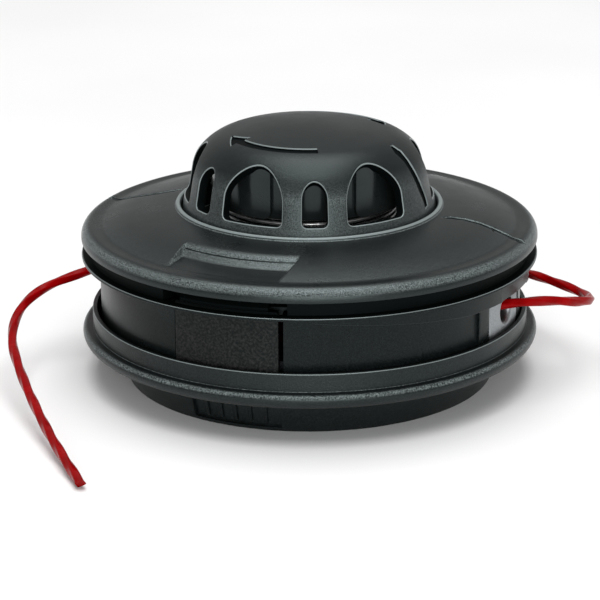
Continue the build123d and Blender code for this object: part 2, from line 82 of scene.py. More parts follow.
knob_radius = 33.3
knob_taper = 1.7
knob_wall = 2.5
knob_gap = 0.35
knob_sink = 1.4
knob_crease = 9.7
knob_height = 22.2
knob_turn = -2.2
crown_rise = 2.4
crown_inset = 11.8
shoulder_inset = 4.6
shoulder_drop = 7.05
window_sill = 3.3
window_corner = 1.4
window_round = 0.4       # rounding of the windows' edges
window_columns = 24
pillar_step = 1.5        # degrees between the upright lines across a pillar
big_window_half = 15.1
big_window_drop = 5.1
small_window_half = 5.8
small_window_drop = 7.9
arrow_radius = 20.5      # winding arrow on the knob's top
arrow_start = -56.3
arrow_span = 64.7
arrow_half = 1.1         # half the width of its shaft
arrow_head = [(-121.2, 2.9), (-126, 2.0), (-131, 1.1), (-137, 0.1)]     # angle and half width
arrow_depth = 0.6
knob_line_depth = 0.55   # line cut down the knob's side
cover_line_depth = 0.6   # line cut into the dome
boss_bore = 1.95
boss_radius = 3.9
boss_low = 54.2
skirt_radius = 25.8
skirt_wall = 1.2
sleeve_wall = 0.6
skirt_low = 2.9
skirt_gap_azimuth = -60.0
skirt_gap_half = 25.0
cap_drop = 6.9
cup_rise = 1.0           # the cup's top above the face that the spring pushes on
spring_radius = 22.9
wire = 1.0
spring_turns = 14
dead_turns = 0.8         # flat turns at each end of the spring
washer_thickness = 0.8
neck_radius = 18.0

post_radius = 12.5
post_height = 13.5
nut_pocket = 9.95        # round pocket for the nut
arbor_shoulder = 3.0
arbor_passage = 6.0
rib_count = 8
floor_low = 7.0
floor_top = 9.0

latch_azimuth = -87.0
latch_half = 14.3
latch_seam = 0.65
latch_slit = 1.2
latch_proud = 0.6
latch_thickness = 2.0
latch_eye = 1.9
latch_foot = 8.0
latch_foot_top = 16.9
pin_z = 14.1
window_half = 16.8
hook_half = 12.0
hook_reach = 0.9
pocket_turn = -2.0       # finger pocket, a little to one side of its latch
pocket_width = 31.0
pocket_radius = 43.8
pocket_slope = 2.9
pocket_rise = 3.1
pocket_step = 0.45       # small step in its back wall
step_share = 0.26        # where on the slope the step lies
pocket_round = 1.3       # rounding of its upper edge
pocket_corner = 2.6      # rounding where the back wall meets the end walls
end_wall_slope = 6.0
mark_half = 14.0         # recess in the lower wall
mark_depth = 0.9
mark_low = 1.0
mark_ribs = 5
grip_width = 1.0
grip_sink = 0.3          # the ribs stay this far under the wall's face

eyelet_width = 20.0
eyelet_height = 10.0
eyelet_corner = 3.0
eyelet_bore = 3.3
eyelet_flare = 1.1
eyelet_flange = 1.2
eyelet_proud = 0.5
eyelet_lift = 0.2
eyelet_foot = 1.7        # the plate reaches this much lower, behind the housing's ring
guard_width = 4.5
guard_proud = 0.7
ramp_span = 64.0
ramp_level = 22.0        # from here on to the eyelet its depth stays the same
ramp_end = 11.0          # it runs on this far past the eyelet's middle
ramp_foot = 0.9          # its depth where it starts
ramp_depth = 4.4
ramp_reach = 3.3
line_diameter = 2.4
twist_pitch = 48.0       # length of line for one turn of its twist
line_flat = 1.11         # from the middle of the line to the middle of a flat side
cut_slant = 0.7          # slope of the cut at its end

roll_top = lower_wall_height + roll_height
ring_top = roll_top + ring_height
flange_low = ring_top + band_height
flange_top = flange_low + flange_thickness
rim_low = flange_top + groove_height
rim_top = rim_low + rim_height
dome_top = rim_top + dome_rise
collar_top = dome_top + collar_lip
channel = lower_wall_height + 0.9 * wall
band_inner = band_radius - wall
groove_radius = rim_radius - groove_depth
pocket_step_radius = pocket_radius + step_share * pocket_slope
collar_inner = knob_radius + knob_gap
collar_outer = collar_inner + collar_width
knob_low = collar_top - knob_sink
knob_top = knob_low + knob_height
knob_edge_radius = knob_radius - crown_inset
cap_low = knob_top - cap_drop
seat_top = knob_low - bump_travel - 1.5
cover_under = seat_top - wall
eyelet_z = ring_top + eyelet_height / 2 + eyelet_lift
spring_low = seat_top + washer_thickness
spring_high = cap_low - seat_gap - washer_thickness

# The photograph's camera: it looks down at the head from the front, a little to the right
camera_azimuth = 25.5
camera_elevation = 18.68
camera_distance = 650.0
camera_roll = 0.32
camera_aim = (-2.56, 18.39)      # sideways and up from the foot of the spin axis
camera_lens = 146.34


def camera():
    """The camera of the photograph."""
    turn = Matrix.Rotation(radians(camera_azimuth), 4, "Z")
    tilt = Matrix.Rotation(radians(90 - camera_elevation), 4, "X")
    roll = Matrix.Rotation(radians(-camera_roll), 4, "Z")
    back = camera_distance * cos(radians(camera_elevation))
    height = camera_distance * sin(radians(camera_elevation))
    place = turn @ Vector((camera_aim[0], -back, camera_aim[1] + height)) * MM
    data = bpy.data.cameras.new("camera")
    data.lens = camera_lens
    data.clip_start = 0.01
    eye = bpy.data.objects.new("camera", data)
    eye.matrix_world = Matrix.Translation(place) @ turn @ tilt @ roll
    bpy.context.scene.collection.objects.link(eye)
    bpy.context.scene.camera = eye


def add_object(name, data):
    """Links a new object that holds a mesh or a curve."""
    piece = bpy.data.objects.new(name, data)
    bpy.context.scene.collection.objects.link(piece)
    return piece


def add_mesh(name, points, faces, sharp=32):
    """A mesh piece from points in millimetres, smooth but for edges sharper than an angle."""
    mesh = bpy.data.meshes.new(name)
    mesh.from_pydata([Vector(p) * MM for p in points], [], faces)
    shell = bmesh.new()
    shell.from_mesh(mesh)
    bmesh.ops.remove_doubles(shell, verts=shell.verts, dist=1e-7)
    bmesh.ops.recalc_face_normals(shell, faces=shell.faces)
    shell.to_mesh(mesh)
    shell.free()
    piece = add_object(name, mesh)
    smooth(piece, sharp)
    return piece


def smooth(piece, sharp=32):
    """Smooth shading that keeps edges sharper than an angle."""
    piece.data.shade_smooth()
    piece.data.set_sharp_from_angle(angle=radians(sharp))


def apply_modifiers(piece):
    """Works a piece's modifiers into its mesh."""
    bpy.context.view_layer.objects.active = piece
    for modifier in list(piece.modifiers):
        bpy.ops.object.modifier_apply(modifier=modifier.name)


def combine(piece, tool, operation="DIFFERENCE"):
    """Cuts a tool away from a piece, or joins it on."""
    modifier = piece.modifiers.new("combine", "BOOLEAN")
    modifier.object = tool
    modifier.operation = operation
    modifier.solver = "EXACT"
    apply_modifiers(piece)
    bpy.data.objects.remove(tool)


def soften(piece, width, angle=40, segments=2, clamp=True):
    """Rounds the edges of a piece that are sharper than an angle."""
    modifier = piece.modifiers.new("soften", "BEVEL")
    modifier.width = width * MM
    modifier.segments = segments
    modifier.limit_method = "ANGLE"
    modifier.angle_limit = radians(angle)
    modifier.use_clamp_overlap = clamp
    modifier.miter_outer = "MITER_ARC"
    apply_modifiers(piece)
    smooth(piece)


def rounded(corners, steps=4):
    """An outline through corners (r, z, rounding), with an arc at each corner that has a rounding."""
    outline = []
    for i, (r, z, rounding) in enumerate(corners):
        corner = Vector((r, z))
        if rounding == 0:
            outline.append(corner)
            continue
        before = Vector(corners[i - 1][:2]) - corner
        after = Vector(corners[(i + 1) % len(corners)][:2]) - corner
        reach = rounding / tan(before.angle(after) / 2)
        start = corner + before.normalized() * min(reach, 0.49 * before.length)
        end = corner + after.normalized() * min(reach, 0.49 * after.length)
        for k in range(steps + 1):
            t = k / steps
            outline.append((1 - t) ** 2 * start + 2 * t * (1 - t) * corner + t * t * end)
    return outline


def arc(start, middle, end, steps):
    """Points of the circle through three points, without its two ends."""
    (x1, y1), (x2, y2), (x3, y3) = start, middle, end
    cross = 2 * (x1 * (y2 - y3) + x2 * (y3 - y1) + x3 * (y1 - y2))
    s1, s2, s3 = x1 * x1 + y1 * y1, x2 * x2 + y2 * y2, x3 * x3 + y3 * y3
    centre = Vector(((s1 * (y2 - y3) + s2 * (y3 - y1) + s3 * (y1 - y2)) / cross,
                     (s1 * (x3 - x2) + s2 * (x1 - x3) + s3 * (x2 - x1)) / cross))
    first = Vector(start) - centre
    sweep = first.angle_signed(Vector(end) - centre)
    points = []
    for k in range(1, steps):
        spin = Matrix.Rotation(-sweep * k / steps, 2)
        points.append(tuple(centre + spin @ first))
    return points


def at(r, angle, z):
    """A point in cylindrical coordinates."""
    return (r * cos(radians(angle)), r * sin(radians(angle)), z)


def skin(name, rings, closed=False, sharp=32):
    """A surface through rings of points that closes on itself, or else has a face at each end."""
    count = len(rings[0])
    points = [point for ring in rings for point in ring]
    faces = [] if closed else [tuple(range(count)), tuple(range(len(points) - count, len(points)))]
    for j in range(len(rings) if closed else len(rings) - 1):
        here, there = j * count, (j + 1) % len(rings) * count
        for i in range(count):
            k = (i + 1) % count
            faces.append((here + i, here + k, there + k, there + i))
    return add_mesh(name, points, faces, sharp)


def turned(name, angles, outlines):
    """A closed surface round the axis, through one closed outline at each angle."""
    rings = [[at(r, angle, z) for r, z in outline] for angle, outline in zip(angles, outlines)]
    return skin(name, rings, closed=True)


def lathe(name, outline, segments=360):
    """A closed outline turned all the way round."""
    angles = [360 * j / segments for j in range(segments)]
    return turned(name, angles, [outline] * segments)


def sector(name, outline, start, span):
    """A closed outline turned through a part of the circle, closed at both ends."""
    turns = max(2, round(abs(span)))
    angles = [start + span * j / turns for j in range(turns + 1)]
    return skin(name, [[at(r, angle, z) for r, z in outline] for angle in angles])


def block(name, r_in, r_out, z_low, z_high, start, span):
    """A part of a plain ring."""
    return sector(name, [(r_in, z_low), (r_out, z_low), (r_out, z_high), (r_in, z_high)], start, span)


def join(piece, *others):
    """Puts the meshes of other objects into one piece as they are."""
    shell = bmesh.new()
    shell.from_mesh(piece.data)
    for other in others:
        shell.from_mesh(other.data)
        bpy.data.objects.remove(other)
    shell.to_mesh(piece.data)
    shell.free()
    smooth(piece)


def clean(piece):
    """Removes points that no face uses and faces without area."""
    shell = bmesh.new()
    shell.from_mesh(piece.data)
    bmesh.ops.dissolve_degenerate(shell, dist=1e-7, edges=shell.edges)
    loose = [point for point in shell.verts if not point.link_faces]
    bmesh.ops.delete(shell, geom=loose, context="VERTS")
    bmesh.ops.recalc_face_normals(shell, faces=shell.faces)
    shell.to_mesh(piece.data)
    shell.free()
    smooth(piece)


def twin(piece):
    """A copy of a piece, half a turn away."""
    other = add_object(piece.name + "_twin", piece.data.copy())
    other.data.transform(Matrix.Rotation(pi, 4, "Z"))
    return other


def cut_both(piece, tool):
    """Cuts a tool and its twin away from a piece."""
    combine(piece, twin(tool))
    combine(piece, tool)


def join_both(piece, tool):
    """Joins a tool and its twin on to a piece."""
    combine(piece, twin(tool), "UNION")
    combine(piece, tool, "UNION")


class Section:
    """A turned surface, walked along its section from the rim towards the axis."""

    def __init__(self, points):
        self.points = [Vector(point) for point in points]
        self.heights = [point.y for point in self.points]
        self.runs = [0.0]
        for first, second in zip(self.points, self.points[1:]):
            self.runs.append(self.runs[-1] + (second - first).length)

    def step(self, run):
        """The piece of the section at a distance along it, and the share of it passed there."""
        i = 0
        while i < len(self.runs) - 2 and self.runs[i + 1] < run:
            i += 1
        return i, (run - self.runs[i]) / (self.runs[i + 1] - self.runs[i])

    def normal(self, i):
        """Outward direction of one piece of the section."""
        along = self.points[i + 1] - self.points[i]
        return Vector((along.y, -along.x)).normalized()

    def radius(self, run):
        """Distance from the axis at a distance along the section."""
        i, share = self.step(run)
        return self.points[i].lerp(self.points[i + 1], share).x

    def place(self, angle, run, depth=0.0):
        """A point of the surface, or some way under it."""
        i, share = self.step(run)
        along = self.points[i + 1] - self.points[i]
        point = self.points[i] + along * share - self.normal(i) * depth
        return at(max(point.x, 0.0), angle, point.y)

    def depth(self, r, z):
        """How far a point lies under the part of the surface at its height."""
        i = min(max(bisect(self.heights, z) - 1, 0), len(self.points) - 2)
        return (self.points[i] - Vector((r, z))).dot(self.normal(i))

    def run_where(self, excess):
        """Distance along the section at which a measure of its points rises to zero."""
        for i, (first, second) in enumerate(zip(self.points, self.points[1:])):
            if excess(second) >= 0:
                share = excess(first) / (excess(first) - excess(second))
                return self.runs[i] + (self.runs[i + 1] - self.runs[i]) * share
        return self.runs[-1]

    def run_at_height(self, height):
        """Distance along the section at which it rises to a height."""
        return self.run_where(lambda point: point.y - height)

    def run_at_radius(self, radius):
        """Distance along the section at which it comes in to a radius."""
        return self.run_where(lambda point: radius - point.x)

    def ribbon(self, name, path, halves, depth, rise=0.8, edge=0.25):
        """A cutter along a path of (angle, run), with a half width at each point and chamfered edges."""
        section = ((1, -rise), (1, 0), (0, edge), (0, depth))
        sides = [(1, *corner) for corner in section] + [(-1, *corner) for corner in section[::-1]]
        rings = []
        for i, (angle, run) in enumerate(path):
            before = path[max(i - 1, 0)]
            after = path[min(i + 1, len(path) - 1)]
            radius = self.radius(run)
            across = Vector((radians(after[0] - before[0]) * radius, after[1] - before[1])).normalized()
            ring = []
            for side, out, level in sides:
                half = side * (halves[i] + out * edge)
                turn = degrees(-across.y * half / radius)
                ring.append(self.place(angle + turn, run + across.x * half, level))
            rings.append(ring)
        return skin(name, rings)


def corner_rise(edge, corner):
    """Height of a rounded corner's curve at a distance from the side."""
    inside = max(corner - edge, 0.0)
    return corner - sqrt(corner ** 2 - inside ** 2)


def panel(name, r_in, r_out, z_low, z_high, start, span, corner_low, corner_high):
    """A curved plate, part of a tube, with rounded corners."""
    columns, rows = 48, 12
    width = radians(span) * r_out
    points = []
    for k in range(columns + 1):
        share = (1 - cos(pi * k / columns)) / 2
        edge = width * min(share, 1 - share)
        low = z_low + corner_rise(edge, corner_low)
        high = z_high - corner_rise(edge, corner_high)
        heights = [low + (high - low) * i / rows for i in range(rows + 1)]
        for radius in (r_out, r_in):
            points += [at(radius, start + span * share, z) for z in heights]
    line = rows + 1
    faces = []
    for k in range(columns):
        here, there = 2 * line * k, 2 * line * (k + 1)
        for side in (0, line):
            for i in range(side, side + rows):
                faces.append((here + i, there + i, there + i + 1, here + i + 1))
        for i in (0, rows):
            faces.append((here + i, there + i, there + line + i, here + line + i))
    for end in (0, 2 * line * columns):
        for i in range(end, end + rows):
            faces.append((i, i + 1, line + i + 1, line + i))
    return add_mesh(name, points, faces)


# Knob

def knob_outline():
    """Finely spaced points of the knob's outer section, from its lower edge to the middle of the top."""
    low = (knob_radius, knob_low)
    crease = (knob_radius - knob_taper, knob_low + knob_crease)
    shoulder = (knob_radius - shoulder_inset, knob_top - shoulder_drop)
    edge = (knob_edge_radius, knob_top - crown_rise)
    crown_radius = (knob_edge_radius ** 2 + crown_rise ** 2) / (2 * crown_rise)
    steps = 40
    side = [Vector(low).lerp(Vector(crease), k / steps) for k in range(steps)]
    bend = [crease, *arc(crease, shoulder, edge, steps)]
    crown = []
    for k in range(steps + 1):
        r = knob_edge_radius * (1 - k / steps)
        crown.append((r, knob_top - crown_radius + sqrt(crown_radius ** 2 - r * r)))
    return side + bend + crown


knob_face = Section(knob_outline())


def knob_windows():
    """The windows in order round the knob: angle, half width in degrees, drop of the arch."""
    windows = [(30 + 60 * i, big_window_half, big_window_drop) for i in range(6)]
    windows += [(60 * i, small_window_half, small_window_drop) for i in (1, 2, 4, 5)]
    return sorted(windows)


def window_column(window, k, grow):
    """One upright line across a window grown by a margin: its angle and the heights of sill and arch."""
    centre, half, drop = window
    share = -cos(pi * k / window_columns)
    width = knob_radius * sin(radians(half))
    height = knob_height - window_sill - drop
    rise = min(0.6 * height, 1.15 * width)
    foot = knob_low + window_sill
    edge = (width + grow) * (1 - abs(share))
    sill = foot - grow + corner_rise(edge, window_corner + grow)
    top = foot + height - rise + (rise + grow) * sqrt(max(1 - share ** 2, 0.0))
    return centre + half * share * (width + grow) / width, sill, top


def knob_columns(grow):
    """Upright lines all round the knob, across each window and the pillar after it, and which are open."""
    windows = knob_windows()
    columns = []
    for window, after in zip(windows, windows[1:] + windows[:1]):
        for k in range(window_columns + 1):
            columns.append((*window_column(window, k, grow), k < window_columns))
        start = columns[-1]
        end = window_column(after, 0, grow)
        pillar = (after[0] - window[0]) % 360 - after[1] - window[1]
        steps = round(pillar / pillar_step)
        for k in range(1, steps):
            share = k / steps
            angle = start[0] + (end[0] - start[0]) % 360 * share
            sill, top = (start[n] + (end[n] - start[n]) * share for n in (1, 2))
            columns.append((angle, sill, top, False))
    return columns


sill_row, arch_row = 6, 14              # rows of the knob's mesh at the sills and arches of its windows
shoulder_rows, crown_rows = 18, 16      # rows above the arches, and across the top


def knob_rows(sill, top):
    """Distances along the section for one column: below the sill, across the opening, up to the middle."""
    low, high = knob_face.run_at_height(sill), knob_face.run_at_height(top)
    edge, end = knob_face.run_at_radius(knob_edge_radius), knob_face.runs[-1]
    spans = [(0, low, sill_row), (low, high, arch_row - sill_row)]
    spans += [(high, edge, shoulder_rows), (edge, end, crown_rows)]
    rows = []
    for start, finish, count in spans:
        rows += [start + (finish - start) * k / count for k in range(count)]
    return rows + [end]


def window_loop(window, grow, depth):
    """Points all round a window grown by a margin, at a depth under the knob's face."""
    sides = []
    for k in range(window_columns + 1):
        angle, sill, top = window_column(window, k, grow)
        rows = knob_rows(sill, top)[sill_row:arch_row + 1]
        sides.append([knob_face.place(angle, run, depth) for run in rows])
    foot, arch = [side[0] for side in sides], [side[-1] for side in sides]
    return foot + sides[-1][1:-1] + arch[::-1] + sides[0][-2:0:-1]


def knob_shell():
    """Domed shell of the knob, with rounded edges round its arched windows."""
    points, faces = [], []
    for grow, depth in ((window_round, 0), (0, knob_wall)):
        base = len(points)
        columns = knob_columns(grow)
        for angle, sill, top, _ in columns:
            rows = knob_rows(sill, top)
            points += [knob_face.place(angle, run, depth) for run in rows]
        total = len(rows)
        for j, column in enumerate(columns):
            here, there = base + total * j, base + total * ((j + 1) % len(columns))
            for i in range(total - 1):
                if not (column[3] and sill_row <= i < arch_row):
                    faces.append((here + i, there + i, there + i + 1, here + i + 1))
    for j in range(len(columns)):
        here, there = total * j, total * ((j + 1) % len(columns))
        faces.append((here, there, base + there, base + here))
    turns = [pi / 2 * k / 4 for k in range(5)]
    edges = [(window_round * (1 - sin(turn)), window_round * (1 - cos(turn))) for turn in turns]
    for window in knob_windows():
        for grow, depth in (*edges, (0, knob_wall)):
            loop = window_loop(window, grow, depth)
            count, base = len(loop), len(points)
            points += loop
            if depth > 0:
                for i in range(count):
                    k = (i + 1) % count
                    faces.append((base - count + i, base - count + k, base + k, base + i))
    return add_mesh("knob_shell", points, faces)


def winding_arrow():
    """Cutter for the curved arrow on the knob's top that shows which way to wind."""
    run = knob_face.run_at_radius(arrow_radius)
    steps = 24
    shaft = [(arrow_start - arrow_span * k / steps, arrow_half) for k in range(steps + 1)]
    path = [(angle, run) for angle, _ in shaft + arrow_head]
    halves = [half for _, half in shaft + arrow_head]
    return knob_face.ribbon("arrow", path, halves, arrow_depth)


def knob_mark():
    """Cutter for the line down the knob's side that lines up with the one on the cover."""
    stations = [
        (47.6, 5.2), (49.2, 4.6), (50.7, 3.6), (52.5, 1.9), (54.35, 0.3), (56.0, -0.6), (57.8, -1.2),
        (60.55, -1.4), (62.5, -1.6), (63.9, -0.6),
    ]
    path = [(angle, knob_face.run_at_height(z)) for z, angle in stations]
    halves = [1.0] * (len(path) - 2) + [1.4, 0.4]
    return knob_face.ribbon("knob_mark", path, halves, knob_line_depth)


def knob_boss():
    """Boss inside the knob for its screw."""
    high = knob_top - knob_wall + 0.5
    outline = [(boss_bore, boss_low), (boss_radius, boss_low), (boss_radius, high), (boss_bore, high)]
    return lathe("boss", outline, 48)


def knob():
    """The bump knob."""
    piece = knob_shell()
    cut_both(piece, winding_arrow())
    cut_both(piece, knob_mark())
    smooth(piece, 30)
    join(piece, knob_boss())
    piece.data.transform(Matrix.Rotation(radians(knob_turn), 4, "Z"))
    return piece


def spring_cup():
    """Smooth cup behind the windows: two wide panels round the spring, a closed top, the neck's socket."""
    start = skirt_gap_azimuth + skirt_gap_half
    span = 180 - 2 * skirt_gap_half
    inner = skirt_radius - skirt_wall
    foot, head = knob_low + skirt_low, cap_low + cup_rise
    plate = panel("cup_shell", inner, skirt_radius, foot, head, start, span, 2.0, 0.0)
    other = twin(plate)
    socket = neck_radius + seat_gap
    low = seat_top + bump_travel + running_gap
    edge = skirt_radius - 0.2
    crown = [(edge, cap_low), (edge, head), (inner, head + 0.2), (knob_edge_radius, head + 0.9),
             (socket, head + 1.1), (socket, low), (socket + wall, low), (socket + wall, cap_low)]
    lap, hollow = inner + 0.05, inner - sleeve_wall
    sleeve = [(hollow, foot), (lap, foot), (lap, head), (hollow, head)]
    join(plate, other, lathe("sleeve", sleeve, 180), lathe("crown", crown, 180))
    plate.data.transform(Matrix.Rotation(radians(knob_turn), 4, "Z"))
    return plate


# Cover

def with_radii(points, radii):
    """Adds points at some radii to a run of points that comes in towards the axis."""
    added = list(points)
    for radius in radii:
        for (r1, z1), (r2, z2) in zip(points, points[1:]):
            if r2 < radius < r1:
                added.append((radius, z1 + (z2 - z1) * (radius - r1) / (r2 - r1)))
    return sorted(added, reverse=True)


def cover_top():
    """Section of the cover's upper face, from the round rim over the ledge and dome to the collar."""
    bead = rim_height - rim_foot
    turns = [pi / 2 * k / 10 for k in range(11)]
    rim = [(rim_radius - bead * (1 - cos(turn)), rim_top - bead * (1 - sin(turn))) for turn in turns]
    valley_radius = rim_radius - valley_inset
    valley = [(valley_radius - shift, rim_top - valley_depth) for shift in (0, valley_width)]
    foot = (dome_radius, rim_top)
    middle = ((collar_outer + dome_radius) / 2, rim_top + 0.64 * dome_rise)
    lip = (collar_outer + 0.25, dome_top)
    fine = [pocket_step_radius + shift for shift in (-0.08, 0, 0.05, 0.13)]
    dome = with_radii(arc(foot, middle, lip, 48), fine)
    crest = arc((collar_outer, dome_top + 0.25), (collar_inner + 0.5 * collar_width, collar_top),
                (collar_inner + 0.2, collar_top - 0.5), 8)
    return rim + valley + [foot] + dome + [lip, (collar_outer, dome_top + 0.25)] + crest


cover_face = Section(cover_top())


def soft_max(a, b, width):
    """The larger of two heights, with a rounded corner where they cross."""
    near = max(width - abs(a - b), 0.0)
    return max(a, b) + near ** 2 / (4 * width)


def pocket_offset(angle):
    """Angle from the middle of the nearer finger pocket."""
    return (angle - latch_azimuth - pocket_turn + 90) % 180 - 90


def pocketed(r, z, angle):
    """Height of a point of the cover's top, lowered where it lies over a finger pocket."""
    if r <= collar_outer or r >= dome_radius + 0.5 or z < rim_top:
        return z
    step_height = 0.66 * pocket_rise
    back = [(collar_outer, 4 * pocket_rise), (pocket_radius, pocket_rise),
            (pocket_step_radius, step_height), (pocket_step_radius + 0.05, step_height - pocket_step),
            (pocket_radius + pocket_slope, 0.3), (dome_radius - 1, 0.1), (dome_radius + 1, 1.5)]
    for (r1, z1), (r2, z2) in zip(back, back[1:]):
        if r1 <= r <= r2:
            slope = z1 + (z2 - z1) * (r - r1) / (r2 - r1)
    aside = abs(r * sin(radians(pocket_offset(angle))))
    end_wall = (aside - pocket_width / 2 + 0.3) * end_wall_slope
    floor_z = rim_top + soft_max(slope, end_wall, pocket_corner)
    return -soft_max(-z, -floor_z, pocket_round)


def cover_angles():
    """Angles all round the cover, close together at the finger pockets."""
    fine, coarse, growth, pocket_half = 0.3, 1.2, 0.06, 22
    angles = []
    angle = 0.0
    while angle < 360:
        angles.append(angle)
        angle += min(fine + growth * max(abs(pocket_offset(angle)) - pocket_half, 0), coarse)
    return angles


def cover_body():
    """The cover's turned form with its finger pockets: skirt, flanges, groove, dome, collar, floor."""
    neck = neck_radius + running_gap
    under = [(collar_inner, collar_top - 1.2, 0.3), (collar_inner, seat_top, 0.6), (neck, seat_top, 0),
             (neck, cover_under, 0), (collar_inner + 0.6 * wall, cover_under, 0),
             (collar_outer, dome_top - 1.2 * wall, 0), (band_inner, rim_top - wall, 0)]
    side = [(band_inner, channel, 0.3), (band_radius, channel, 0.3), (band_radius, flange_low, 0.7),
            (rim_radius, flange_low, 0.2), (rim_radius, flange_top, 0.38),
            (groove_radius, flange_top, 0.4), (groove_radius, rim_low, 0.4), (rim_radius, rim_low, 0.3)]
    top = [(*point, 0) for point in cover_top()]
    outline = rounded(side + top + under, 3)
    angles = cover_angles()
    outlines = [[(r, pocketed(r, z, angle)) for r, z in outline] for angle in angles]
    return turned("cover_body", angles, outlines)


def cover_mark():
    """Cutter for the curved line on the dome that the knob's line meets."""
    stations = [
        (58.6, 3.4, 0.9), (57.4, 4.4, 0.85), (53.9, 6.5, 0.75), (50.2, 7.2, 0.75), (46.1, 7.9, 0.75),
        (42.2, 7.5, 0.75), (38.6, 5.6, 0.65), (36.9, 3.2, 0.1),
    ]
    path = [(angle, cover_face.run_at_radius(r)) for r, angle, _ in stations]
    halves = [half for _, _, half in stations]
    return cover_face.ribbon("cover_mark", path, halves, cover_line_depth)


def flange_ramp():
    """Skirt under the second flange that deepens towards an eyelet."""
    count = 60
    inner, outer = band_radius - 0.5, band_radius + ramp_reach
    high = flange_low + 0.2
    rings = []
    for k in range(count + 1):
        angle = -ramp_span + (ramp_span + ramp_end) * k / count
        share = min((angle + ramp_span) / (ramp_span - ramp_level), 1)
        low = flange_low - ramp_foot - (ramp_depth - ramp_foot) * share
        corners = ((inner, low), (outer, low), (outer, high), (inner, high))
        rings.append([at(r, angle, z) for r, z in corners])
    return skin("ramp", rings)


def eyelet_guards():
    """Raised upright strips on each side of an eyelet."""
    near = degrees((eyelet_width / 2 + seat_gap) / band_radius)
    span = degrees(guard_width / band_radius)
    outer = band_radius + guard_proud
    return [block("guard", band_radius - 0.5, outer, roll_top, flange_low + 0.1, start, span)
            for start in (near, -near - span)]


def eyelet_slot():
    """Cutter for an eyelet's place in the skirt."""
    half = eyelet_width / 2 + seat_gap
    low = eyelet_z - eyelet_height / 2 - eyelet_foot - seat_gap
    high = eyelet_z + eyelet_height / 2 + seat_gap
    corners = ((-half, low), (half, low), (half, high), (-half, high))
    outline = rounded([(y, z, eyelet_corner) for y, z in corners], 6)
    return skin("slot", [[(x, y, z) for y, z in outline] for x in (band_inner - 8, rim_radius + 2)])


def cover():
    """The cover with its finger pockets, latch slots and windows, eyelet slots and marks."""
    piece = cover_body()
    for guard in eyelet_guards():
        join_both(piece, guard)
    join_both(piece, flange_ramp())
    cut_both(piece, eyelet_slot())
    inner = band_inner - wall
    clear = band_radius + latch_proud + running_gap + hook_reach
    start = latch_azimuth - latch_half - latch_seam
    span = 2 * latch_half + latch_seam + latch_slit
    cut_both(piece, block("slot", inner, clear, channel - wall, rim_low - running_gap, start, span))
    head = rim_low - 0.2
    start, span = latch_azimuth - window_half, 2 * window_half
    cut_both(piece, block("window", inner, rim_radius + wall, flange_top, head, start, span))
    cut_both(piece, cover_mark())
    clean(piece)
    soften(piece, 0.12, angle=50, segments=2, clamp=False)
    return piece


# Housing

def wall_strip(name, low, high, inset, outset, start, span):
    """A band of the sloped lower wall between two depths, measured from its outer face."""
    slope = wall_flare / lower_wall_height
    foot, head = base_radius + slope * low, base_radius + slope * high
    outline = [(foot - inset, low), (foot + outset, low), (head + outset, high), (head - inset, high)]
    return sector(name, outline, start, span)


def housing_body():
    """The housing's turned form: lower wall, rolled rim, upright ring, floor and hub post."""
    foot = base_radius - wall
    head = base_radius + wall_flare
    well = head - 0.85 * wall
    hub = post_radius + wall
    roll = []
    for k in range(17):
        turn = pi * k / 16 - pi / 2
        bulge = (roll_share if turn < 0 else 1 - roll_share) * roll_height
        z = lower_wall_height + roll_share * roll_height + bulge * sin(turn)
        roll.append((roll_radius - bulge * (1 - cos(turn)), z))
    corners = [(arbor_passage, 0, 0.3), (hub, 0, 0.4), (hub, floor_low, 0.6),
               (foot + wall_flare * floor_low / lower_wall_height, floor_low, 0.6), (foot, 0, 0.3),
               (base_radius, 0, 0.4), (head, lower_wall_height, 0.6)]
    corners += [(*point, 0) for point in roll]
    ring_inner = ring_radius - ring_wall
    post_top = floor_top + post_height
    corners += [(ring_radius, roll_top, 0.2), (ring_radius, ring_top, 0.35), (ring_inner, ring_top, 0.2),
                (ring_inner, channel, 0.3), (well, channel, 0.4), (well, floor_top, 0.4),
                (post_radius, floor_top, 0.4), (post_radius, post_top, 0.4), (nut_pocket, post_top, 0),
                (nut_pocket, arbor_shoulder, 0), (arbor_passage, arbor_shoulder, 0)]
    return lathe("housing_body", rounded(corners, 4))


def housing_ribs():
    """Stiffening ribs under the floor, from the hub to the wall."""
    inner, outer = post_radius + wall - 1, base_radius - wall / 2
    half = wall / 2
    plan = ((inner, -half), (outer, -half), (outer, half), (inner, half))
    ribs = []
    for i in range(rib_count):
        rib = skin("rib", [[(x, y, z) for x, y in plan] for z in (0.24 * floor_low, floor_low + 0.3)])
        rib.data.transform(Matrix.Rotation(2 * pi / rib_count * (i + 0.5), 4, "Z"))
        soften(rib, 0.3)
        ribs.append(rib)
    return ribs


def housing():
    """The housing with its two bare recesses, which hold plain grip ribs."""
    piece = housing_body()
    start, span = latch_azimuth - mark_half, 2 * mark_half
    cut_both(piece, wall_strip("recess", mark_low, lower_wall_height + 0.01, mark_depth, 2, start, span))
    clean(piece)
    soften(piece, 0.3, angle=45, segments=3)
    pitch = span / (mark_ribs + 1)
    low, high = mark_low + mark_depth, lower_wall_height + 0.1
    grips = []
    for i in range(mark_ribs):
        turn = start + pitch * (i + 1) - grip_width / 2
        grip = wall_strip("grip", low, high, mark_depth + 0.2, -grip_sink, turn, grip_width)
        soften(grip, 0.25, segments=3)
        grips += [grip, twin(grip)]
    join(piece, *grips, *housing_ribs())
    return piece


# Latches, eyelets, spring and line

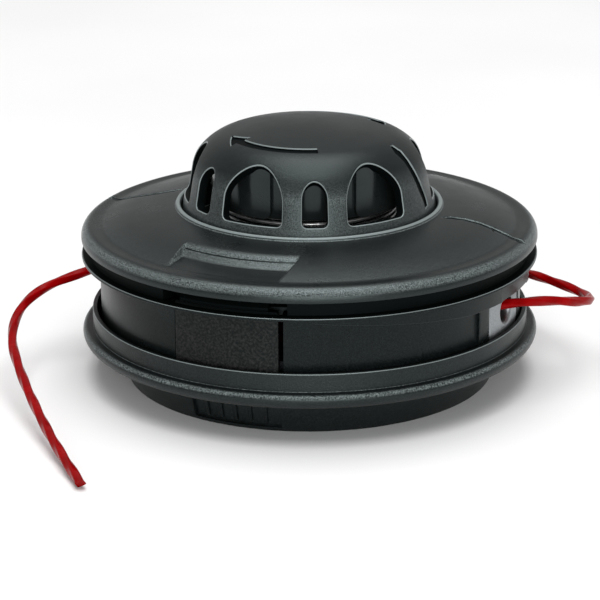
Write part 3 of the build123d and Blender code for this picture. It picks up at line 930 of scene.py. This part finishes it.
def hinge_foot():
    """A latch's foot, which hangs inside the ring round its pin."""
    pin_r = band_inner + seat_gap
    half = 0.7 * latch_eye
    high = latch_foot_top + latch_thickness / 2
    outline = rounded([(pin_r - half, pin_z, 0), (pin_r, pin_z - latch_eye, 1.0), (pin_r + half, pin_z, 0),
                       (pin_r + half, high, 0.3), (pin_r - half, high, 0.3)], 3)
    foot = skin("foot", [[(x, y, z) for x, z in outline] for y in (-latch_foot, latch_foot)])
    foot.data.transform(Matrix.Rotation(radians(latch_azimuth), 4, "Z"))
    return foot


def latch():
    """Push latch: curved panel with a hook at its top and a hinge foot inside the ring."""
    outer = band_radius + latch_proud
    inner = outer - latch_thickness
    head = flange_top + 0.2
    start, span = latch_azimuth - latch_half, 2 * latch_half
    plate = panel("latch", inner, outer, latch_foot_top, head, start, span, 0.4, 0.6)
    soften(plate, 0.4, angle=50, segments=3)
    hook_high = rim_low - 1.0
    tip = outer + hook_reach
    outline = rounded([(inner, head - 1, 0), (outer - 0.1, head - 1, 0), (outer - 0.1, head, 0.1),
                       (tip, head + 0.4, 0.2), (tip, head + 1.2, 0.3), (outer - 0.6, hook_high, 0.3),
                       (inner, hook_high, 0.3)], 3)
    hook = sector("hook", outline, latch_azimuth - hook_half, 2 * hook_half)
    join(plate, hook, hinge_foot())
    return plate


def plate_reach(angle):
    """Distance from an eyelet's middle to the edge of its plate."""
    across, up = abs(cos(angle)), abs(sin(angle))
    foot = eyelet_foot if sin(angle) < 0 else 0
    straight_y, straight_z = eyelet_width / 2 - eyelet_corner, eyelet_height / 2 - eyelet_corner + foot
    low, high = 0.0, eyelet_width
    for _ in range(40):
        reach = (low + high) / 2
        beyond = Vector((max(reach * across - straight_y, 0), max(reach * up - straight_z, 0)))
        low, high = (reach, high) if beyond.length < eyelet_corner else (low, reach)
    return low


def eyelet():
    """Metal eyelet: a curved plate with a flared hole, held by a flange inside the skirt."""
    around, lip = 128, 8
    outer = band_radius + eyelet_proud
    plate = outer - band_inner + seat_gap
    deep = plate + eyelet_flange
    mouth = eyelet_bore + eyelet_flare
    flare = []
    for k in range(lip + 1):
        turn = pi / 2 * k / lip
        flare.append((eyelet_bore + eyelet_flare * (1 - cos(turn)), eyelet_flare * (1 - sin(turn))))
    rings = []
    for j in range(around):
        angle = 2 * pi * j / around
        edge = plate_reach(angle)
        face = [(mouth + (edge - 0.5 - mouth) * k / 6, 0.0) for k in range(1, 7)]
        back = [(edge - 0.2, 0.1), (edge, 0.35), (edge, plate), (edge + eyelet_flange, plate),
                (edge + eyelet_flange, deep), (mouth, deep), (eyelet_bore + 0.3, deep - 0.4),
                (eyelet_bore, deep - eyelet_flare)]
        ring = []
        for reach, depth in flare + face + back:
            y, z = reach * cos(angle), reach * sin(angle)
            ring.append((sqrt(outer ** 2 - y ** 2) - depth, y, eyelet_z + z))
        rings.append(ring)
    return skin("eyelet", rings, closed=True, sharp=40)


def tube_along(name, path, section):
    """A mesh that carries a section, given for each step, along a path without twisting it."""
    rings = []
    side = None
    for i, here in enumerate(path):
        ahead = (path[min(i + 1, len(path) - 1)] - path[max(i - 1, 0)]).normalized()
        side = ahead.orthogonal() if side is None else side - ahead * side.dot(ahead)
        side.normalize()
        up = ahead.cross(side)
        rings.append([here + side * x + up * y + ahead * lead for x, y, lead in section(i)])
    return skin(name, rings)


def spring():
    """Bright compression spring with flat ends."""
    height = spring_high - spring_low - wire
    steps = 64
    path = []
    for k in range(steps * spring_turns + 1):
        turn = k / steps
        lift = min(max((turn - dead_turns) / (spring_turns - 2 * dead_turns), 0), 1)
        path.append(Vector(at(spring_radius, 360 * turn, spring_low + wire / 2 + lift * height)))
    ring = [(wire / 2 * cos(pi * k / 8), wire / 2 * sin(pi * k / 8), 0) for k in range(16)]
    return tube_along("spring_coil", path, lambda i: ring)


right_route = [
    (36.3, -12.4, 23.8), (45.4, -6.6, 23.8), (55.2, 1.2, 24.8), (63, 11.2, 23.7), (68.3, 21.4, 20.8),
    (68.4, 31.4, 18.4), (62.8, 39.6, 17), (54.6, 44.2, 17.2), (45.4, 48.6, 17.2), (36.2, 56.4, 15),
    (28, 68, 10.6), (21, 82, 5.4), (15, 95, 1.6),
]
left_route = [
    (-36.3, 12.4, 23.8), (-45.4, 6.6, 23.8), (-55.2, -1.2, 23.2), (-63.6, -10.2, 20.6),
    (-70.5, -20.4, 18.4), (-70.9, -32.2, 15.8), (-65.4, -45.6, 12.6), (-54, -59, 8.8), (-40.8, -72.7, 5.4),
    (-27, -86.4, 2.9), (-12.4, -100.15, 1.4),
]


def smooth_route(route):
    """Points read from the smooth spline whose control points are the route's points, in metres."""
    curve = bpy.data.curves.new("route", "CURVE")
    curve.dimensions = "3D"
    spline = curve.splines.new("NURBS")
    spline.points.add(len(route) - 1)
    for point, place in zip(spline.points, route):
        point.co = (*(Vector(place) * MM), 1)
    spline.order_u = 3
    spline.use_endpoint_u = True
    spline.resolution_u = 24
    carrier = add_object("route", curve)
    mesh = bpy.data.meshes.new_from_object(carrier)
    points = [point.co.copy() for point in mesh.vertices]
    bpy.data.objects.remove(carrier)
    return points


def line_tail(name, node, route):
    """A tail of twisted line: its section, a square with round corners, turns steadily along the line."""
    points = smooth_route(route)
    path = [point / MM for point in points]
    runs = [0.0]
    for first, second in zip(path, path[1:]):
        runs.append(runs[-1] + (second - first).length)

    def twisted(i):
        turn = 2 * pi * runs[i] / twist_pitch
        slant = cut_slant if i == len(path) - 1 else 0
        ring = []
        for k in range(32):
            angle = 2 * pi * k / 32
            reach = line_flat / (cos(angle) ** 4 + sin(angle) ** 4) ** 0.25
            x, y = reach * cos(angle + turn), reach * sin(angle + turn)
            ring.append((x, y, slant * (y - line_diameter / 2)))
        return ring

    piece = tube_along(name, path, twisted)
    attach(piece, "head")
    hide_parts(node)
    return piece


# Materials

def new_material(name):
    """A new material with the usual shader."""
    made = bpy.data.materials.new(name)
    made.use_nodes = True
    return made


def finish_surface(made, values):
    """Sets sockets of a material's main shader, each to a value or from the output of another node."""
    surface = made.node_tree.nodes["Principled BSDF"]
    for key, value in values.items():
        if isinstance(value, bpy.types.NodeSocket):
            link(made, value, surface.inputs[key])
        else:
            surface.inputs[key].default_value = value
    return made


def add_node(made, kind, **settings):
    """A shader node with some of its sockets or properties set."""
    node = made.node_tree.nodes.new(kind)
    for key, value in settings.items():
        socket = node.inputs.get(key.replace("_", " ").title())
        if socket:
            socket.default_value = value
        else:
            setattr(node, key, value)
    return node


def link(made, start, end):
    """Joins two sockets."""
    made.node_tree.links.new(start, end)


def noise(made, scale, detail=2.0, roughness=0.5):
    """A cloudy pattern fixed to the object, with a scale in waves for each metre."""
    place = add_node(made, "ShaderNodeTexCoord")
    pattern = add_node(made, "ShaderNodeTexNoise", scale=scale, detail=detail, roughness=roughness)
    link(made, place.outputs["Object"], pattern.inputs["Vector"])
    return pattern.outputs["Fac"]


def spread(made, source, low, high, start=0.3, end=0.7):
    """Turns a pattern into numbers between two limits."""
    node = add_node(made, "ShaderNodeMapRange")
    for key, value in (("From Min", start), ("From Max", end), ("To Min", low), ("To Max", high)):
        node.inputs[key].default_value = value
    link(made, source, node.inputs["Value"])
    return node.outputs["Result"]


def blend_colours(made, source, dark, light, start=0.35, end=0.65):
    """Runs between two colours by a pattern."""
    ramp = add_node(made, "ShaderNodeValToRGB")
    ramp.color_ramp.elements[0].position = start
    ramp.color_ramp.elements[0].color = (*dark, 1)
    ramp.color_ramp.elements[1].position = end
    ramp.color_ramp.elements[1].color = (*light, 1)
    link(made, source, ramp.inputs["Fac"])
    return ramp.outputs["Color"]


def bump(made, source, strength, distance):
    """Raises a surface by a pattern, by up to a distance in millimetres."""
    node = add_node(made, "ShaderNodeBump", strength=strength, distance=distance * MM)
    link(made, source, node.inputs["Height"])
    return node.outputs["Normal"]


cool_sheen = (0.84, 1.0, 1.0, 1.0)       # faint green-blue cast in the gloss of the black plastics
sheen_slopes = (0.25, 0.5, 0.8, 0.97)     # faces given a painted highlight: from steep to nearly level
# steeper faces given a painted highlight, such as the knob's pillars and crease
pillar_sheen_slopes = (0.1, 0.2, 0.3, 0.6)


def sheen_mask(made, limits):
    """A mask of painted highlight over faces that slope up and out; its limits say how level a face is at
    its start and end.
    """
    normal = add_node(made, "ShaderNodeNewGeometry").outputs["Normal"]
    split = add_node(made, "ShaderNodeSeparateXYZ")
    link(made, normal, split.inputs["Vector"])
    rising = spread(made, split.outputs["Z"], 0.0, 1.0, limits[0], limits[1])
    falling = spread(made, split.outputs["Z"], 1.0, 0.0, limits[2], limits[3])
    both = add_node(made, "ShaderNodeMath", operation="MULTIPLY")
    link(made, rising, both.inputs[0])
    link(made, falling, both.inputs[1])
    return both.outputs["Value"]


def moulded_plastic(name, dark, light, painted_sheen, grain_size, grain_depth, roughness, gloss,
                    limits=sheen_slopes):
    """Black moulded plastic: a fine grain, a cloudy sheen, and paler grain as a painted highlight on faces
    of some slopes.
    """
    made = new_material(name)
    grain = noise(made, 1000 / grain_size, 2.0, 0.6)
    cloud = noise(made, 70.0, 4.0, 0.6)
    plain = blend_colours(made, grain, dark, light, 0.4, 0.72)
    # paler grain on faces picked by their slope: a painted highlight
    sheen_grain = blend_colours(made, grain, dark, painted_sheen, 0.35, 0.72)
    mix = add_node(made, "ShaderNodeMix", data_type="RGBA")
    link(made, sheen_mask(made, limits), mix.inputs[0])
    link(made, plain, mix.inputs[6])
    link(made, sheen_grain, mix.inputs[7])
    return finish_surface(made, {
        "Base Color": mix.outputs[2],
        "Roughness": spread(made, cloud, roughness - 0.05, roughness + 0.05),
        "Normal": bump(made, grain, 1.0, grain_depth),
        "Specular IOR Level": gloss,
        "Specular Tint": cool_sheen,
    })


def glossy_plastic(name):
    """Smooth black plastic with faint flow marks."""
    made = new_material(name)
    cloud = noise(made, 90.0, 3.0)
    return finish_surface(made, {
        "Base Color": blend_colours(made, cloud, (0.006, 0.008, 0.008), (0.014, 0.017, 0.017)),
        "Roughness": spread(made, cloud, 0.14, 0.22),
        "Specular IOR Level": 0.35,
        "Specular Tint": cool_sheen,
    })


def metal(name, dark, light, rough_low, rough_high, grain_size, grain_depth):
    """Bare metal with a fine grain."""
    made = new_material(name)
    grain = noise(made, 1000 / grain_size, 3.0)
    return finish_surface(made, {
        "Base Color": blend_colours(made, grain, dark, light),
        "Roughness": spread(made, grain, rough_low, rough_high),
        "Normal": bump(made, grain, 0.3, grain_depth),
        "Metallic": 1.0,
    })


def red_nylon(name, dark, light):
    """Deep red trimmer line."""
    made = new_material(name)
    cloud = noise(made, 200.0, 2.0)
    return finish_surface(made, {
        "Base Color": blend_colours(made, cloud, dark, light),
        "Roughness": spread(made, cloud, 0.2, 0.3),
        "Specular IOR Level": 0.1,
        "Specular Tint": (1.0, 0.5, 0.5, 1.0),
    })


def floor_paint(name):
    """Matt white paper."""
    made = new_material(name)
    cloud = noise(made, 6.0, 2.0)
    return finish_surface(made, {
        "Base Color": blend_colours(made, cloud, (0.86, 0.86, 0.86), (0.9, 0.9, 0.9)),
        "Roughness": 0.8,
        "Specular IOR Level": 0.1,
    })


# Stage

def floor():
    """A plain pale floor under the head."""
    half, low = 3000, -0.05
    corners = [(-half, -half, low), (half, -half, low), (half, half, low), (-half, half, low)]
    piece = add_mesh("floor", corners, [(0, 1, 2, 3)])
    piece.data.materials.append(floor_paint("floor_paint"))


def area_light(name, side, back, height, width, depth, power):
    """A soft light that points at the head, placed as seen from the camera."""
    data = bpy.data.lights.new(name, "AREA")
    data.shape = "RECTANGLE"
    data.size = width
    data.size_y = depth
    data.energy = power
    lamp = bpy.data.objects.new(name, data)
    place = Matrix.Rotation(radians(camera_azimuth), 4, "Z") @ Vector((side, back, height))
    aim = Vector((0, 0, 0.035)) - place
    lamp.matrix_world = Matrix.Translation(place) @ aim.to_track_quat("-Z", "Y").to_matrix().to_4x4()
    bpy.context.scene.collection.objects.link(lamp)


def lights():
    """Soft studio light: pale surroundings, a long light above, and a low wide one in front."""
    world = bpy.data.worlds.new("studio")
    world.use_nodes = True
    world.node_tree.nodes["Background"].inputs["Color"].default_value = (1, 1, 1, 1)
    world.node_tree.nodes["Background"].inputs["Strength"].default_value = 0.4
    bpy.context.scene.world = world
    bpy.context.scene.view_settings.view_transform = "Standard"
    area_light("top", 0, -0.05, 1.4, 1.0, 1.6, 19)
    area_light("front", 0.1, -1.27, 0.3, 1.0, 0.45, 8)


# Finishes

def dress(piece, made, body, slot, *nodes):
    """Gives a piece its material, the body it moves with and the solids it stands for."""
    piece.data.materials.clear()
    piece.data.materials.append(made)
    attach(piece, body)
    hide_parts(*nodes)


Spot = namedtuple("Spot", "r z slope across")


def paint_part(piece, made, test):
    """Gives the faces that pass a test another finish."""
    piece.data.materials.append(made)
    number = len(piece.data.materials) - 1
    for face in piece.data.polygons:
        x, y, z = face.center / MM
        r = hypot(x, y)
        across = (face.normal.y * x - face.normal.x * y) / r if r > 0 else 0
        if test(Spot(r, z, face.normal.z, across)):
            face.material_index = number


def is_band(spot):
    """The cover's plain wall and the upright faces of its second flange and ramp."""
    return spot.z < flange_top and abs(spot.slope) < 0.3


def is_groove(spot):
    """The groove between the cover's rim and its second flange, and the inside of the cover's wall, painted
    dark as painted shade.
    """
    reach = rim_radius - 0.3 if spot.z > flange_top - 0.05 else band_radius - 0.05
    return spot.z < rim_low + 0.05 and spot.r < reach


def is_pocket_end(spot):
    """The end wall of a finger pocket that faces away from the light, given the duller band finish as
    painted shade.
    """
    return spot.across > 0.25 and collar_outer < spot.r < dome_radius and spot.z > rim_top


def is_cover_edge(spot):
    """The upper edge of the second flange, and the crest of the collar, which get a painted highlight."""
    on_flange = abs(spot.z - flange_top) < 0.4 and spot.r > rim_radius - 0.4 and spot.slope < 0.98
    on_collar = spot.z > dome_top + 0.2 and spot.r < collar_outer
    return spot.slope > 0.2 and (on_flange or on_collar)


def is_ring_edge(spot):
    """The outer upper edge of the housing's ring, painted pale as a painted highlight."""
    return 0.2 < spot.slope < 0.98 and spot.z > ring_top - 0.4 and spot.r > ring_radius - 0.5


def is_hook(spot):
    """A latch's hook, above the second flange, painted black as painted shade."""
    return spot.z > flange_low - 0.1


def is_knob_edge(spot):
    """Rounded edges of the knob's windows and of the marks cut into it, painted pale as a painted highlight.
    """
    return 0.04 < knob_face.depth(spot.r, spot.z) < 0.7 * window_round


def is_knob_inside(spot):
    """The floors of the marks, the sides of the windows and the inside of the knob, painted dark as painted
    shade.
    """
    return knob_face.depth(spot.r, spot.z) > 0.7 * window_round


def repaint(node, made):
    """Gives a solid of the frame a better material."""
    for slot in bpy.data.objects[node].material_slots:
        slot.material = made


camera()
nylon = red_nylon("red_nylon", (0.21, 0.0003, 0.0008), (0.28, 0.0006, 0.0014))
line_tail("tail_right", "line_right", right_route).data.materials.append(nylon)
line_tail("tail_left", "line_left", left_route).data.materials.append(nylon)

black, soot = (0.002, 0.003, 0.003), (0.012, 0.015, 0.015)
# pale greys for painted highlight: a dimmer one for the knob, a brighter one for the other mouldings and
# edges
dim_sheen, sheen_grey = (0.09, 0.104, 0.104), (0.19, 0.22, 0.22)
# the knob's steep faces take the dimmer painted highlight
knob_plastic = moulded_plastic("knob_plastic", black, soot, dim_sheen, 0.3, 0.05, 0.34, 0.34, pillar_sheen_slopes)
# pale grey all over: a painted highlight for rounded edges
edge_plastic = moulded_plastic("edge_plastic", sheen_grey, sheen_grey, sheen_grey, 0.3, 0.02, 0.3, 0.6)
cover_plastic = moulded_plastic("cover_plastic", black, soot, sheen_grey, 0.28, 0.05, 0.3, 0.37)
band_plastic = moulded_plastic("band_plastic", black, soot, sheen_grey, 0.3, 0.02, 0.3, 0.16)
# flat black with little gloss: painted shade for grooves, window sides, the knob's inside and the hooks
groove_plastic = moulded_plastic("groove_plastic", black, black, black, 0.5, 0.03, 0.5, 0.05)
housing_plastic = moulded_plastic("housing_plastic", black, soot, sheen_grey, 0.4, 0.06, 0.36, 0.32)
brown, rust = (0.002, 0.002, 0.002), (0.022, 0.02, 0.02)
latch_plastic = moulded_plastic("latch_plastic", brown, rust, rust, 0.6, 0.06, 0.42, 0.17)
steel = metal("steel", (0.42, 0.43, 0.44), (0.6, 0.61, 0.62), 0.25, 0.4, 0.6, 0.02)
spring_steel = metal("spring_steel", (0.8, 0.81, 0.8), (0.9, 0.91, 0.9), 0.3, 0.4, 0.5, 0.01)
eyelet_metal = metal("eyelet_metal", (0.22, 0.24, 0.25), (0.36, 0.38, 0.39), 0.35, 0.5, 0.3, 0.03)
blued_steel = metal("blued_steel", (0.012, 0.013, 0.016), (0.025, 0.026, 0.03), 0.35, 0.5, 0.4, 0.01)

button = knob()
dress(button, knob_plastic, "feed", "cover_plastic", "knob")
# painted highlight on the edges of the windows and marks, painted shade inside them
paint_part(button, edge_plastic, is_knob_edge)
paint_part(button, groove_plastic, is_knob_inside)
dress(spring_cup(), glossy_plastic("cup_plastic"), "feed", "cup_plastic", "spring_cup")
lid = cover()
dress(lid, cover_plastic, "head", "cover_plastic", "cover")
paint_part(lid, band_plastic, is_band)
# painted shade in the groove and on the pockets' end walls, painted highlight on the flange's and collar's
# upper edges
paint_part(lid, groove_plastic, is_groove)
paint_part(lid, edge_plastic, is_cover_edge)
paint_part(lid, band_plastic, is_pocket_end)
base = housing()
dress(base, housing_plastic, "head", "housing_plastic", "housing")
# painted highlight on the ring's upper edge
paint_part(base, edge_plastic, is_ring_edge)
front = latch()
back = twin(front)
front.name, back.name = "latch_panel_front", "latch_panel_back"
dress(front, latch_plastic, "latch_front", "housing_plastic", "latch_front")
dress(back, latch_plastic, "latch_back", "housing_plastic", "latch_back")
# the hooks are painted black as painted shade
for piece in (front, back):
    paint_part(piece, groove_plastic, is_hook)
right = eyelet()
left = twin(right)
right.name, left.name = "eyelet_plate_right", "eyelet_plate_left"
dress(right, eyelet_metal, "head", "eyelet_metal", "eyelet_right")
dress(left, eyelet_metal, "head", "eyelet_metal", "eyelet_left")
coil = spring()
dress(coil, spring_steel, "head", "spring_steel", "spring")
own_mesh(coil)
repaint("spool", moulded_plastic("spool_plastic", black, soot, soot, 0.4, 0.03, 0.45, 0.4))
# the wound line is painted far darker than the tails: painted shade inside the head
repaint("line_winding", red_nylon("wound_nylon", (0.02, 0.0002, 0.0004), (0.04, 0.0005, 0.001)))
for name in ("arbor_nut", "spring_seat", "thrust_washer", "knob_screw"):
    repaint(name, steel)
for name in ("latch_pin_front", "latch_pin_back"):
    repaint(name, steel)
for name in ("latch_spring_front", "latch_spring_back"):
    repaint(name, blued_steel)

floor()
lights()
